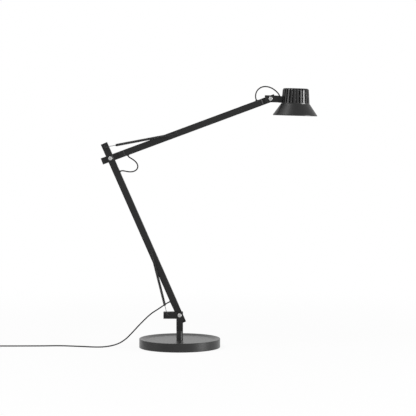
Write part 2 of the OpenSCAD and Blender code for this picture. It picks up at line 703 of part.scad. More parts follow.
// Loops of lead at the elbow and the head: curves of the fifth degree between two exits, whose
// control points are set in the directions of the two pieces that the loop joins
function choose(n, k) = k == 0 ? 1 : choose(n, k - 1) * (n - k + 1) / k;
function weight(n, k, t) = choose(n, k) * pow(1 - t, n - k) * pow(t, k);
function loop_curve(c) = [for (i = [0:loop_steps])
    let(t = i / loop_steps, n = len(c) - 1)
    weight(n, 0, t) * c[0] + weight(n, 1, t) * c[1] + weight(n, 2, t) * c[2]
        + weight(n, 3, t) * c[3] + weight(n, 4, t) * c[4] + weight(n, 5, t) * c[5]
];
loop_steps = 18;
elbow_loop = concat(
    [in_upper_arm(elbow_exit, -loop_out)],
    loop_curve([
        in_upper_arm(elbow_exit, -curve_out), in_upper_arm(elbow_exit, -curve_out - 22),
        in_upper_arm(elbow_exit + 59, -curve_out - 40), in_lower_arm(curve_out - 8, lower_exit - 29),
        in_lower_arm(curve_out + 24, lower_exit), in_lower_arm(curve_out, lower_exit)
    ]),
    [in_lower_arm(loop_out, lower_exit)]
);
head_loop = concat(
    [in_upper_arm(head_exit, loop_out)],
    loop_curve([
        in_upper_arm(head_exit, curve_out), in_upper_arm(head_exit, curve_out + 10.5),
        in_upper_arm(head_exit + 12, curve_out + 46), in_head(head_lead_x - 18, block_top + 30),
        in_head(head_lead_x, block_top + 6), in_head(head_lead_x, block_top)
    ]),
    [in_head(head_lead_x, block_top - 3)]
);
module elbow_cord_loop() cord_tube(elbow_loop);
module head_cord_loop() cord_tube(head_loop);

// Stored coil of cord and its plug

coil_layers = 4;
coil_turns_all = coil_layers * coil_turns - 0.25;
layer_turns = coil_turns_all / coil_layers;
coil_in_r = coil_d / 2 - layer_turns * coil_pitch / 2;
coil_out_r = coil_d / 2 + layer_turns * coil_pitch / 2;
loop_rings = 24;
coil_start = cord_route[len(cord_route) - 1];
coil_centre = [coil_start[0] - cord_d - 2, coil_start[1] - coil_out_r];
coil_top_z = cord_z + (coil_layers - 1) * coil_pitch;
plug_axis_z = plug_size[2] / 2;
plug_pin_d = 4;
plug_pin_len = 19;
plug_pin_gap = 19;
plug_x = 20;
plug_away = 39;
plug_face = coil_centre + [plug_x, coil_out_r + plug_away];
tail_start = [coil_centre[0] + coil_out_r, coil_centre[1]];
tail_end = [plug_face[0], plug_face[1] - relief_len];

// Turns measured from the nearest place where the spiral reverses, and the layers climbed by then
function to_reversal(t, k) = t - k * layer_turns;
function spiral_r(t) =
    let(k = floor(t / layer_turns), f = t / layer_turns - k)
    k % 2 == 0 ? coil_out_r + f * (coil_in_r - coil_out_r) : coil_in_r + f * (coil_out_r - coil_in_r);
function climb(t, k) = k >= coil_layers ? 0 : smooth(2 * (to_reversal(t, k) + 0.25)) + climb(t, k + 1);

cord_coil_path = concat(
    [coil_start - [seat_gap, 0, 0], coil_start - [cord_d, 0, 0]],
    [for (i = [0:floor(coil_turns_all * loop_rings)])
        let(t = i / loop_rings, a = 90 + 360 * t, r = spiral_r(t))
        [coil_centre[0] + r * cos(a), coil_centre[1] + r * sin(a), cord_z + coil_pitch * climb(t, 1)]],
    [for (i = [1:6])
        let(f = i / 7, bend = f * f * f, sag = 2 * sin(180 * f) * f)
        [
            tail_start[0] + (tail_end[0] - tail_start[0]) * bend,
            tail_start[1] + (tail_end[1] - tail_start[1]) * f,
            coil_top_z + (plug_axis_z - coil_top_z) * f - sag
        ]],
    [[tail_end[0], tail_end[1] - cord_d, plug_axis_z], [tail_end[0], tail_end[1], plug_axis_z]]
);

module cord_coil() color(rubber_black) tube(cord_coil_path, cord_r, form_sides, [0.01, 0.02, 1]);

module plug_relief() color(rubber_black) translate([tail_end[0], tail_end[1], plug_axis_z])
    rotate([-90, 0, 0]) cylinder(r1 = cord_r + 0.5, r2 = cord_r + 2.5, h = relief_len);

// The plug's body is a block rounded along all its edges, with a seam round its middle and
// grooves for the fingers at its far end
module plug_body() color(rubber_black)
    translate([plug_face[0], plug_face[1] + plug_size[1] / 2, plug_axis_z]) difference() {
        intersection() {
            rotate([90, 0, 0]) rounded_bar(plug_size[0], plug_size[2], plug_size[1], plug_corner_r);
            rotate([0, 90, 0]) rounded_bar(plug_size[2], plug_size[1], plug_size[0], plug_edge_r);
            rounded_bar(plug_size[0], plug_size[1], plug_size[2], plug_edge_r);
        }
        plug_groove(0, plug_seam);
        for (i = [0:plug_grips - 1])
            plug_groove(plug_size[1] / 2 - plug_edge_r - 2 * plug_groove_w * i, plug_groove_w);
    }
module rounded_bar(w, d, h, r) linear_extrude(h, center = true) polygon(rounded_rect(w, d, r));
module plug_groove(y, w) translate([0, y, 0]) rotate([90, 0, 0])
    linear_extrude(w, center = true) difference() {
        square([plug_size[0] + 2, plug_size[2] + 2], center = true);
        polygon(rounded_rect(
            plug_size[0] - 2 * plug_groove_deep, plug_size[2] - 2 * plug_groove_deep, plug_corner_r
        ));
    }
function rounded_rect(w, h, r) = [for (k = [0:3], a = [0:22.5:90])
    let(right = k == 0 || k == 3 ? 1 : -1, up = k < 2 ? 1 : -1)
    [
        right * (w / 2 - r) + r * cos(90 * k + a),
        up * (h / 2 - r) + r * sin(90 * k + a)
    ]
];
plug_corner_r = 5;
plug_edge_r = 3;
plug_seam = 0.8;
plug_groove_w = 1.4;
plug_groove_deep = 0.5;
plug_grips = 3;

module plug_pins() color(bright_metal) for (side = [-1, 1])
    translate([
        plug_face[0] - plug_size[0] / 2, plug_face[1] + plug_size[1] / 2 + side * plug_pin_gap / 2,
        plug_axis_z
    ])
        rotate([0, -90, 0]) cylinder(d = plug_pin_d, h = plug_pin_len);

// Lamp head, around the pivot of the head, with the shade's axis at head_reach

module at_shade_axis() on_head() translate([head_reach, 0, 0]) children();

module head_bracket() color(black) on_head() difference() {
    intersection() {
        block_x(-bracket_back, bracket_front, arm_w, bracket_h);
        rotate([90, 0, 0]) linear_extrude(arm_w + 2, center = true) polygon([
            [-bracket_back + end_chamfer, -bracket_h / 2], [bracket_front, -bracket_h / 2],
            [bracket_front, bracket_h / 2], [-bracket_back + end_chamfer, bracket_h / 2],
            [-bracket_back, bracket_h / 2 - end_chamfer], [-bracket_back, -bracket_h / 2 + end_chamfer]
        ]);
    }
    translate([-bracket_back - 1, -slot_half, -bracket_h])
        cube([bracket_back + 1 + fork_depth, 2 * slot_half, 2 * bracket_h]);
    rod_y(pivot_r + run_gap, -arm_w, arm_w);
}

module head_pivot_screw() on_head() pivot_screw();
module head_pivot_nut() on_head() pivot_nut();
module head_washers() on_head() friction_washers();

// The block that joins the bracket to the heat sink, with the way for the lead
module head_block() color(black) on_head() difference() {
    translate([0, 0, -block_drop]) block_x(bracket_front, pocket_x, head_block_w, head_block_h);
    translate([head_lead_x, 0, 0]) cylinder(r = lead_bore_r, h = bracket_h);
    translate([head_lead_x - lead_bore_r, 0, 0]) rotate([0, 90, 0])
        cylinder(r = lead_bore_r, h = head_reach);
}

// The lead's stripped core, which goes on through the block and the heat sink to the board
module head_lead() color(rubber_black) on_head() tube([
    [head_lead_x, 0, block_top - 3.05], [head_lead_x, 0, 1.4], [head_lead_x + 0.4, 0, 0.4],
    [head_lead_x + 1.4, 0, 0], [head_reach - 1.4, 0, 0], [head_reach - 0.4, 0, -0.4],
    [head_reach, 0, -1.4], [head_reach, 0, sink_foot_z - board_t]
], core_r, cord_sides, [0.01, 1, 0.02]);

module heat_sink() color(black_satin) at_shade_axis() difference() {
    rotate_extrude($fn = fine) polygon(concat(
        [
            [0, sink_foot_z], [sink_foot_d / 2, sink_foot_z],
            [sink_foot_d / 2, sink_foot_z + sink_foot_h / 2]
        ],
        [for (a = [0:15:90]) [
            sink_top_d / 2 - sink_edge_r + sink_edge_r * cos(a),
            sink_top - sink_edge_r + sink_edge_r * sin(a)
        ]],
        [[0, sink_top]]
    ));
    for (i = [0:fins - 1]) rotate([0, 0, 360 * (i + 0.5) / fins]) fin_slot();
    translate([-head_reach, 0, -block_drop]) block_x(0, pocket_x, head_block_w, head_block_h);
    rotate([0, -90, 0]) cylinder(r = lead_bore_r, h = head_reach);
    translate([0, 0, sink_foot_z - 1]) cylinder(r = board_hole_r, h = -sink_foot_z + 1 + 2 * lead_bore_r);
    for (i = [0:2]) rotate([0, 0, 120 * i]) translate([shade_screw_at, 0, sink_foot_z - 1])
        cylinder(r = shade_screw_r + seat_gap, h = 9);
}

// One gap between two fins, open at the top and at the side, with a round lower end
module fin_slot() {
    translate([sink_core_r, 0, sink_foot_z + sink_foot_h + fin_gap / 2]) rotate([90, 0, 90])
        linear_extrude(fin_depth + 2) polygon(concat(
            [for (a = [180:45:360]) fin_gap / 2 * [cos(a), sin(a)]],
            [[fin_gap / 2, sink_h], [-fin_gap / 2, sink_h]]
        ));
}

// Outer and inner radius of the shade at a height
function shade_r(z) = shade_top_d / 2 + (sink_foot_z - z) * shade_slope;
function shade_in_r(z) = shade_r(z) - shade_wall_r;
shade_hole_r = board_d / 2 + 0.6;
shade_screw_at = board_d / 2 + 6;
shade_screw_r = 1.2;
shade_screw_head_h = 1.6;
cone_neck_h = shade_screw_head_h + 0.6;

module shade() color(black_satin) at_shade_axis() difference() {
    rotate_extrude($fn = fine) polygon([
        [shade_hole_r, sink_foot_z], [shade_top_d / 2, sink_foot_z],
        [shade_rim_d / 2, rim_z + shade_rim_h], [shade_rim_d / 2, rim_z],
        [shade_in_r(rim_z) - 0.6, rim_z], [shade_in_r(rim_z + shade_rim_h) - 0.6, rim_z + shade_rim_h],
        [shade_in_r(rim_z + shade_rim_h + 0.6), rim_z + shade_rim_h + 0.6],
        [shade_in_r(sink_foot_z - flange_t), sink_foot_z - flange_t],
        [shade_hole_r, sink_foot_z - flange_t]
    ]);
    for (i = [0:2]) rotate([0, 0, 120 * i]) translate([shade_screw_at, 0, sink_foot_z - flange_t - 1])
        cylinder(r = shade_screw_r * 1.375, h = flange_t + 2);
}

module shade_screws() color(zinc_grey) at_shade_axis()
    for (i = [0:2]) rotate([0, 0, 120 * i]) translate([shade_screw_at, 0, 0]) {
        translate([0, 0, sink_foot_z - flange_t]) cylinder(r = shade_screw_r, h = flange_t + 7);
        translate([0, 0, sink_foot_z - flange_t - shade_screw_head_h])
            cylinder(r = shade_screw_r * 2.25, h = shade_screw_head_h);
    }

module led_board() color("white") at_shade_axis() difference() {
    translate([0, 0, sink_foot_z - board_t]) cylinder(d = board_d, h = board_t);
    translate([0, 0, sink_foot_z - board_t - 1]) cylinder(r = board_hole_r, h = board_t + 2);
}

module led_array() color("gold") at_shade_axis() for (i = [0:7]) rotate([0, 0, 45 * i])
    translate([board_d / 4, -1.5, sink_foot_z - board_t - 0.8]) cube([3, 3, 0.8]);

// The white cone has a short straight neck beside the heads of the shade screws
module mixing_cone() color("white") at_shade_axis() rotate_extrude($fn = fine) polygon([
    [board_d / 2 - 1.4, sink_foot_z - flange_t], [shade_hole_r + 1.2, sink_foot_z - flange_t],
    [shade_hole_r + 1.2, sink_foot_z - flange_t - cone_neck_h],
    [shade_in_r(diffuser_z) - 1, diffuser_z], [shade_in_r(diffuser_z) - 3, diffuser_z],
    [board_d / 2 - 1.4, sink_foot_z - flange_t - cone_neck_h]
]);

module diffuser() color("ivory") at_shade_axis()
    translate([0, 0, diffuser_z - diffuser_t])
        cylinder(r = shade_in_r(diffuser_z) - fit_r, h = diffuser_t, $fn = fine);

module retaining_ring() color(black_satin) at_shade_axis() rotate_extrude($fn = fine) polygon([
    [shade_in_r(diffuser_z) - 4, retainer_z], [shade_in_r(retainer_z) - seat_gap, retainer_z],
    [shade_in_r(retainer_z) - seat_gap, retainer_z - retainer_h],
    [shade_in_r(diffuser_z) - 4, retainer_z - retainer_h]
]);

// Lengths of the cord's stretches and the least gap in each wound form, for the maker's notes

function run_length(p, i = 0) = i >= len(p) - 1 ? 0 : norm(p[i + 1] - p[i]) + run_length(p, i + 1);
function gaps_within(p, step, skip, reach) = [
    for (i = [0:step:len(p) - 1 - skip], j = [i + skip:min(len(p) - 1, i + reach)]) norm(p[i] - p[j])
];
spring_points = spring_path(spring_span(foot_pin, foot_arm_point));
coil_gap = min(gaps_within(cord_coil_path, 3, loop_rings / 2, len(cord_coil_path))) - cord_d;
spring_gap = min(gaps_within(spring_points, 1, curl_rings / 2, 2 * curl_rings)) - spring_wire;
echo(coil_gap = coil_gap, spring_gap = spring_gap);
echo(shown_cord = run_length(cord_route), stored_cord = run_length(cord_coil_path));

base_plate();
base_pad();
base_bolt();
post();
swivel_washer();
swivel_bush();
foot_bracket();
swivel_screw();
foot_pivot_screw();
foot_pivot_nut();
foot_washers();
foot_tongue();
lower_tube();
lower_lead();
elbow_fork();
elbow_pivot_screw();
elbow_pivot_nut();
elbow_washers();
supply_grommet();
lower_grommet();
elbow_tongue();
upper_tube();
upper_lead();
elbow_grommet();
upper_grommet();
head_tongue();
head_pivot_screw();
head_pivot_nut();
head_washers();
foot_spring_pin();
foot_spring_seat();
foot_arm_pin();
elbow_spring_pin();
elbow_spring_seat();
elbow_arm_pin();
foot_spring_coil();
foot_spring_hook();
foot_spring_end();
elbow_spring_coil();
elbow_spring_hook();
elbow_spring_end();
elbow_cord_loop();
head_cord_loop();
head_bracket();
head_block();
head_lead();
heat_sink();
shade();
shade_screws();
led_board();
led_array();
mixing_cone();
diffuser();
retaining_ring();
supply_cord_lead();
supply_cord();
cord_coil();
plug_relief();
plug_body();
plug_pins();
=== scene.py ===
import math
import bmesh
import bpy
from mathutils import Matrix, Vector


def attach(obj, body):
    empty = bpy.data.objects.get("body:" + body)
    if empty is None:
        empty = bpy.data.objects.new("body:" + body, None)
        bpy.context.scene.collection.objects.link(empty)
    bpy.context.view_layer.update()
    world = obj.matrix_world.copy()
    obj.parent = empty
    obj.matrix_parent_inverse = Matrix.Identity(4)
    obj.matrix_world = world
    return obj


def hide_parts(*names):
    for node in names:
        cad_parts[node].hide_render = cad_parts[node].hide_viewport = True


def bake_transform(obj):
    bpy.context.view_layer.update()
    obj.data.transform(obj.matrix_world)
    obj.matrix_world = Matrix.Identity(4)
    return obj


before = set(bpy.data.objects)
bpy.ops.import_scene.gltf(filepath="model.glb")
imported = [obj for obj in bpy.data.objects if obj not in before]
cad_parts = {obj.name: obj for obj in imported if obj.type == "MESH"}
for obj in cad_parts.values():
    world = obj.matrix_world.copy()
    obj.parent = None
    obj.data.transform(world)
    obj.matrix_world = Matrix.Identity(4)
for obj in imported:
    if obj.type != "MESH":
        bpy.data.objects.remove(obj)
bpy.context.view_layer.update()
MM = 0.001

# Sizes repeated from part.scad, in millimetres and degrees

BASE_R, FOOT_Z = 100, 80.3
LOWER_LEN, UPPER_LEN = 422.8, 419.2
LEAN, RISE, TILT = math.radians(23.65), math.radians(20.35), math.radians(1.7)
ARM_HALF = 8.1
SUPPLY_EXIT, LOWER_EXIT = 40, LOWER_LEN - 38.9
ELBOW_EXIT, HEAD_EXIT = 42.8, UPPER_LEN - 33.8
BUSH_PROUD, SEAT_GAP, STRAIGHT = 1.2, 0.05, 1.2
LOOP_OUT = ARM_HALF + BUSH_PROUD + SEAT_GAP
CURVE_OUT = LOOP_OUT + STRAIGHT
HEAD_LEAD_X, HEAD_BLOCK_TOP, HEAD_LEAD_IN = 22.2, 7.2, 3
CORD_D, CORD_R, CORD_Z = 3.2, 1.6, 1.65
LIE_Y, LANDING_OUT, LANDING_Y = 15.3, 91, -19
COIL_D, COIL_PITCH, COIL_LAYERS, COIL_AWAY = 37, 3.8, 4, 2
COIL_TURNS = 2.75
ALL_TURNS = COIL_LAYERS * COIL_TURNS - 0.25
PLUG_HEIGHT, PLUG_X, PLUG_AWAY, RELIEF_LEN = 26, 20, 39, 22
SPRING_SHORT, SPRING_LONG, SPRING_Y = 30, 173.5, -12.5
SPRING_R, WIRE_R, HOOK_LEN = 2.6, 0.7, 24.5


def in_lower_arm(x, z):
    c, s = math.cos(LEAN), math.sin(LEAN)
    return Vector((x * c - z * s, 0, FOOT_Z + x * s + z * c))


ELBOW = in_lower_arm(0, LOWER_LEN)


def in_upper_arm(x, z):
    c, s = math.cos(RISE), math.sin(RISE)
    return ELBOW + Vector((x * c - z * s, 0, x * s + z * c))


HEAD = in_upper_arm(UPPER_LEN, 0)


def in_head(x, z):
    c, s = math.cos(TILT), math.sin(TILT)
    return HEAD + Vector((x * c + z * s, 0, z * c - x * s))


# Camera, fitted to the photograph: its place is in metres and its sensor in millimetres

PHOTO_PIXELS, FOCAL_PIXELS, SENSOR = 416, 1690, 36
CAMERA_PLACE, CAMERA_DIP = (0.06993, -4.1538, 0.56968), 0.0540

scene = bpy.context.scene
camera_data = bpy.data.cameras.new("camera")
camera_data.sensor_width = SENSOR
camera_data.lens = FOCAL_PIXELS / PHOTO_PIXELS * SENSOR
camera_data.clip_end = 50
camera = bpy.data.objects.new("camera", camera_data)
camera.location = CAMERA_PLACE
camera.rotation_euler = (math.pi / 2 - CAMERA_DIP, 0, 0)
scene.collection.objects.link(camera)
scene.camera = camera


# Mesh helpers

def new_object(name, verts, faces, rounded=True):
    mesh = bpy.data.meshes.new(name)
    mesh.from_pydata([tuple(v) for v in verts], [], faces)
    mesh.validate()
    bm = bmesh.new()
    bm.from_mesh(mesh)
    bmesh.ops.recalc_face_normals(bm, faces=bm.faces)
    bm.to_mesh(mesh)
    bm.free()
    if rounded:
        mesh.polygons.foreach_set("use_smooth", [True] * len(mesh.polygons))
    obj = bpy.data.objects.new(name, mesh)
    scene.collection.objects.link(obj)
    return obj


def swept_tube(name, path, radius, sides):
    """A round tube along a path in millimetres; radius is one number or one for each point."""
    points = [Vector(p) for p in path]
    radii = radius if isinstance(radius, list) else [radius] * len(points)
    headings = [
        (points[min(i + 1, len(points) - 1)] - points[max(i - 1, 0)]).normalized()
        for i in range(len(points))
    ]
    side = headings[0].orthogonal().normalized()
    verts, faces = [], []
    for i, point in enumerate(points):
        side = (side - headings[i] * side.dot(headings[i])).normalized()
        up = headings[i].cross(side)
        for k in range(sides):
            a = 2 * math.pi * k / sides
            verts.append((point + radii[i] * (math.cos(a) * side + math.sin(a) * up)) * MM)
    for i in range(len(points) - 1):
        for k in range(sides):
            a, b = i * sides + k, i * sides + (k + 1) % sides
            faces.append((a, b, b + sides, a + sides))
    faces.append(tuple(range(sides))[::-1])
    faces.append(tuple((len(points) - 1) * sides + k for k in range(sides)))
    return new_object(name, verts, faces)


def with_middles(points):
    """The points with one more between each two, on a smooth curve through them."""
    out = []
    for i, point in enumerate(points[:-1]):
        ends = points[max(0, i - 1)] + points[min(len(points) - 1, i + 2)]
        out += [point, (9 * (point + points[i + 1]) - ends) / 16]
    return out + [points[-1]]


def ease(t):
    """0 up to t 0 and 1 from t 1 on, with a soft start and end between them."""
    t = min(1, max(0, t))
    return t * t * (3 - 2 * t)


# Supply cord: its fall, its way along the table, its stored coil and its plug

CORD_SIDES = 12
FALL_SHAPE = [
    (0, 0, 0), (0.037, 0.02, 0.028), (0.077, 0.07, 0.067), (0.125, 0.13, 0.116),
    (0.184, 0.2, 0.174), (0.25, 0.3, 0.236), (0.315, 0.4, 0.316), (0.381, 0.5, 0.41),
    (0.441, 0.58, 0.5), (0.494, 0.66, 0.584), (0.542, 0.73, 0.662), (0.59, 0.79, 0.736),
    (0.644, 0.84, 0.815), (0.733, 0.9, 0.905), (0.822, 0.95, 0.957), (0.911, 0.98, 0.985), (1, 1, 1),
]
LIE_SHAPE = [
    (15, -20.5), (30, -17.5), (45, -12), (60, -7.5), (75, -3.5), (90, 0.3), (105, 2.8), (120, 3),
    (135, 1.4), (150, 0.2), (170, -0.4), (190, -0.8), (210, -1.2), (230, -1.6), (250, -1.6),
    (270, -0.9), (287, -0.2), (304, 0),
]
LANDING = Vector((-(BASE_R + LANDING_OUT), LIE_Y + LANDING_Y, CORD_Z))
cord_exit = in_lower_arm(-LOOP_OUT, SUPPLY_EXIT)
fall_start = in_lower_arm(-CURVE_OUT, SUPPLY_EXIT)
cord_route = [
    Vector((
        fall_start.x + x * (LANDING.x - fall_start.x), y * LANDING.y,
        fall_start.z + z * (LANDING.z - fall_start.z),
    ))
    for x, y, z in FALL_SHAPE
] + [Vector((LANDING.x - step, LIE_Y + y, CORD_Z)) for step, y in LIE_SHAPE]

COIL_STEPS, CLIMB_TURNS, TAIL_STEPS, TAIL_SAG = 24, 0.5, 7, 2
layer_turns = ALL_TURNS / COIL_LAYERS
coil_in = COIL_D / 2 - layer_turns * COIL_PITCH / 2
coil_out = COIL_D / 2 + layer_turns * COIL_PITCH / 2
coil_start = cord_route[-1]
coil_centre = Vector((coil_start.x - CORD_D - COIL_AWAY, coil_start.y - coil_out, 0))
coil_top = CORD_Z + (COIL_LAYERS - 1) * COIL_PITCH
plug_z = PLUG_HEIGHT / 2
plug_face = coil_centre + Vector((PLUG_X, coil_out + PLUG_AWAY, plug_z))
tail_start = coil_centre + Vector((coil_out, 0, coil_top))
tail_end = plug_face - Vector((0, RELIEF_LEN, 0))


def coil_point(t):
    """The point t turns into the coil, whose layers wind in and out in turn, one on another."""
    layer = min(int(t / layer_turns), COIL_LAYERS - 1)
    share = t / layer_turns - layer
    if layer % 2:
        share = 1 - share
    r = coil_out + share * (coil_in - coil_out)
    a = math.pi / 2 + 2 * math.pi * t
    climb = sum(ease((t - k * layer_turns) / CLIMB_TURNS + 0.5) for k in range(1, COIL_LAYERS))
    return coil_centre + Vector((r * math.cos(a), r * math.sin(a), CORD_Z + COIL_PITCH * climb))


def tail_point(f):
    """The point at share f of the way from the coil's top to the plug."""
    way = tail_end - tail_start
    sag = TAIL_SAG * math.sin(math.pi * f) * f
    return tail_start + Vector((way.x * f ** 3, way.y * f, way.z * f - sag))


coil_path = [coil_start - Vector((CORD_D, 0, 0))]
coil_path += [coil_point(i / COIL_STEPS) for i in range(int(ALL_TURNS * COIL_STEPS) + 1)]
coil_path += [tail_point(i / TAIL_STEPS) for i in range(1, TAIL_STEPS)]
coil_path += [tail_end - Vector((0, CORD_D, 0)), tail_end]

cord_path = [cord_exit] + with_middles(cord_route) + coil_path
supply = swept_tube("supply_cord_run", cord_path, CORD_R, CORD_SIDES)
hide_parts("supply_cord_lead", "supply_cord", "cord_coil")
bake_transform(supply)

RELIEF_STEPS, RELIEF_WALL, RELIEF_SWELL = 44, 0.2, 2
RIB_PROUD, RIB_STEPS, RIBBED_STEPS = 0.35, 4, range(3, 40)
relief_path = [tail_end + Vector((0, RELIEF_LEN * i / RELIEF_STEPS, 0)) for i in range(RELIEF_STEPS + 1)]
relief_radii = [
    CORD_R + RELIEF_WALL + RELIEF_SWELL * i / RELIEF_STEPS
    + (RIB_PROUD if i % RIB_STEPS in (1, 2) and i in RIBBED_STEPS else 0)
    for i in range(RELIEF_STEPS + 1)
]
relief = swept_tube("plug_strain_relief", relief_path, relief_radii, 2 * CORD_SIDES)
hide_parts("plug_relief")
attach(relief, "foot")


# Loops of lead at the elbow and at the head: Bezier curves through their given control points

LOOP_STEPS = 48


def loop_curve(controls):
    """The Bezier curve of the control points."""
    degree = len(controls) - 1
    curve = []
    for i in range(LOOP_STEPS + 1):
        t = i / LOOP_STEPS
        terms = [
            math.comb(degree, k) * (1 - t) ** (degree - k) * t ** k * c
            for k, c in enumerate(controls)
        ]
        curve.append(sum(terms, Vector((0, 0, 0))))
    return curve


elbow_loop = [in_upper_arm(ELBOW_EXIT, -LOOP_OUT)] + loop_curve([
    in_upper_arm(ELBOW_EXIT, -CURVE_OUT), in_upper_arm(ELBOW_EXIT, -CURVE_OUT - 9.3),
    in_upper_arm(ELBOW_EXIT + 46, -CURVE_OUT - 30.2), in_lower_arm(CURVE_OUT + 23.5, LOWER_EXIT - 38.6),
    in_lower_arm(CURVE_OUT + 14.8, LOWER_EXIT), in_lower_arm(CURVE_OUT, LOWER_EXIT),
]) + [in_lower_arm(LOOP_OUT, LOWER_EXIT)]
elbow_lead = swept_tube("elbow_lead_loop", elbow_loop, CORD_R, CORD_SIDES)
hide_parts("elbow_cord_loop")
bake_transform(elbow_lead)

head_loop = [in_upper_arm(HEAD_EXIT, LOOP_OUT)] + loop_curve([
    in_upper_arm(HEAD_EXIT, CURVE_OUT), in_upper_arm(HEAD_EXIT, CURVE_OUT + 10.6),
    in_upper_arm(HEAD_EXIT + 7.2, CURVE_OUT + 37.3), in_head(HEAD_LEAD_X - 25.3, HEAD_BLOCK_TOP + 43.2),
    in_head(HEAD_LEAD_X, HEAD_BLOCK_TOP + 3), in_head(HEAD_LEAD_X, HEAD_BLOCK_TOP),
]) + [in_head(HEAD_LEAD_X, HEAD_BLOCK_TOP - HEAD_LEAD_IN)]
head_lead = swept_tube("head_lead_loop", head_loop, CORD_R, CORD_SIDES)
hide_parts("head_cord_loop")
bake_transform(head_lead)


# Balance springs, wound closely from hook to hook

WINDING_PITCH, WINDING_STEPS, WIRE_SIDES = 1.5, 16, 8
END_TURNS, END_SHARE, END_OVERLAP = 1.2, 0.08, 0.4


def spring(name, node, pin, arm_pin):
    """A winding between two pins, which narrows to its hooks over the turns at its ends."""
    pin, arm_pin = (Vector((p.x, SPRING_Y, p.z)) for p in (pin, arm_pin))
    along = (arm_pin - pin).normalized()
    side = Vector((0, 1, 0))
    up = along.cross(side)
    x0, x1 = HOOK_LEN, (arm_pin - pin).length - HOOK_LEN
    length = x1 - x0 - 2 * WIRE_R
    turns = int(length / WINDING_PITCH)
    path = [pin + along * (x0 - END_OVERLAP)]
    for i in range(turns * WINDING_STEPS + 1):
        t = i / WINDING_STEPS
        r = SPRING_R * min(ease(t / END_TURNS + END_SHARE), ease((turns - t) / END_TURNS + END_SHARE))
        a = 2 * math.pi * t
        centre = pin + along * (x0 + WIRE_R + length * t / turns)
        path.append(centre + r * (math.cos(a) * side + math.sin(a) * up))
    path.append(pin + along * (x1 + END_OVERLAP))
    coil = swept_tube(name, path, WIRE_R, WIRE_SIDES)
    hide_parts(node)
    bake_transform(coil)
    return coil


foot_coil = spring(
    "foot_spring_winding", "foot_spring_coil",
    Vector((-SPRING_SHORT, 0, FOOT_Z)), in_lower_arm(0, SPRING_LONG),
)
elbow_coil = spring(
    "elbow_spring_winding", "elbow_spring_coil",
    in_lower_arm(0, LOWER_LEN + SPRING_SHORT), in_upper_arm(SPRING_LONG, 0),
)


# Thin collars where the upper arm's tube meets its end fittings; their lighter grey than the arm is a
# painted highlight of light caught at the joint edges

COLLAR_SUNK, COLLAR_CUT = 0.6, 0.8


def collar(name, at, wide, proud):
    """A square ring round the upper arm, with cut corners, at a distance from the elbow."""
    side, brow = wide / 2, wide * 0.3
    rings = [
        (-side, -COLLAR_SUNK), (-side, 0), (-brow, proud), (brow, proud), (side, 0), (side, -COLLAR_SUNK),
    ]
    corners, verts, faces = 8, [], []
    for x, out in rings:
        half = ARM_HALF + out
        flat = half - COLLAR_CUT
        for y, z in (
            (flat, -half), (half, -flat), (half, flat), (flat, half),
            (-flat, half), (-half, flat), (-half, -flat), (-flat, -half),
        ):
            point = in_upper_arm(at + x, z)
            verts.append((point.x * MM, y * MM, point.z * MM))
    for i in range(len(rings)):
        here, there = i * corners, (i + 1) % len(rings) * corners
        for k in range(corners):
            n = (k + 1) % corners
            faces.append((here + k, here + n, there + n, there + k))
    obj = new_object(name, verts, faces, rounded=False)
    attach(obj, "upper_arm")
    return obj


head_collar = collar("head_end_collar", at=UPPER_LEN - 22, wide=1.7, proud=0.12)
elbow_collar = collar("elbow_end_collar", at=36, wide=0.8, proud=0.08)


# Node trees

def emptied_tree(owner):
    owner.use_nodes = True
    owner.node_tree.nodes.clear()
    return owner.node_tree


def new_node(tree, kind, **values):
    """A node of a kind, with the values of its inputs."""
    node = tree.nodes.new("ShaderNode" + kind)
    for name, value in values.items():
        node.inputs[name.replace("_", " ")].default_value = value
    return node


# Materials

NOISE_LOW, NOISE_HIGH = 0.3, 0.7
BROAD_MM, RELIEF_MM, ROUGH_SPREAD = 38, 0.02, 0.03


def surface(name, colour, rough, grain, bump, specular=0.5, edge=0.0, tone=0.06, metallic=0.0):
    """A finish with a fine grain; the grain's size and the rounding of edges are in millimetres."""
    mat = bpy.data.materials.new(name)
    tree = emptied_tree(mat)
    link = tree.links.new
    out = new_node(tree, "OutputMaterial")
    shader = new_node(tree, "BsdfPrincipled", Metallic=metallic, Specular_IOR_Level=specular)
    link(shader.outputs["BSDF"], out.inputs["Surface"])
    place = new_node(tree, "TexCoord").outputs["Object"]
    broad = new_node(tree, "TexNoise", Scale=1 / (BROAD_MM * MM), Detail=3)
    fine = new_node(tree, "TexNoise", Scale=1 / (grain * MM), Detail=2)
    for noise in (broad, fine):
        link(place, noise.inputs["Vector"])

    ramp = new_node(tree, "ValToRGB")
    dark, light = ramp.color_ramp.elements
    dark.position, light.position = NOISE_LOW, NOISE_HIGH
    dark.color = (*[c * (1 - tone) for c in colour], 1)
    light.color = (*[min(1, c * (1 + tone)) for c in colour], 1)
    link(broad.outputs["Fac"], ramp.inputs["Fac"])
    link(ramp.outputs["Color"], shader.inputs["Base Color"])

    spread = new_node(
        tree, "MapRange", From_Min=NOISE_LOW, From_Max=NOISE_HIGH,
        To_Min=rough - ROUGH_SPREAD, To_Max=rough + ROUGH_SPREAD,
    )
    link(fine.outputs["Fac"], spread.inputs["Value"])
    link(spread.outputs["Result"], shader.inputs["Roughness"])

    bumped = new_node(tree, "Bump", Strength=bump, Distance=RELIEF_MM * MM)
    link(fine.outputs["Fac"], bumped.inputs["Height"])
    if edge:
        bevel = new_node(tree, "Bevel", Radius=edge * MM)
        bevel.samples = 4
        link(bevel.outputs["Normal"], bumped.inputs["Normal"])
    link(bumped.outputs["Normal"], shader.inputs["Normal"])
    return mat


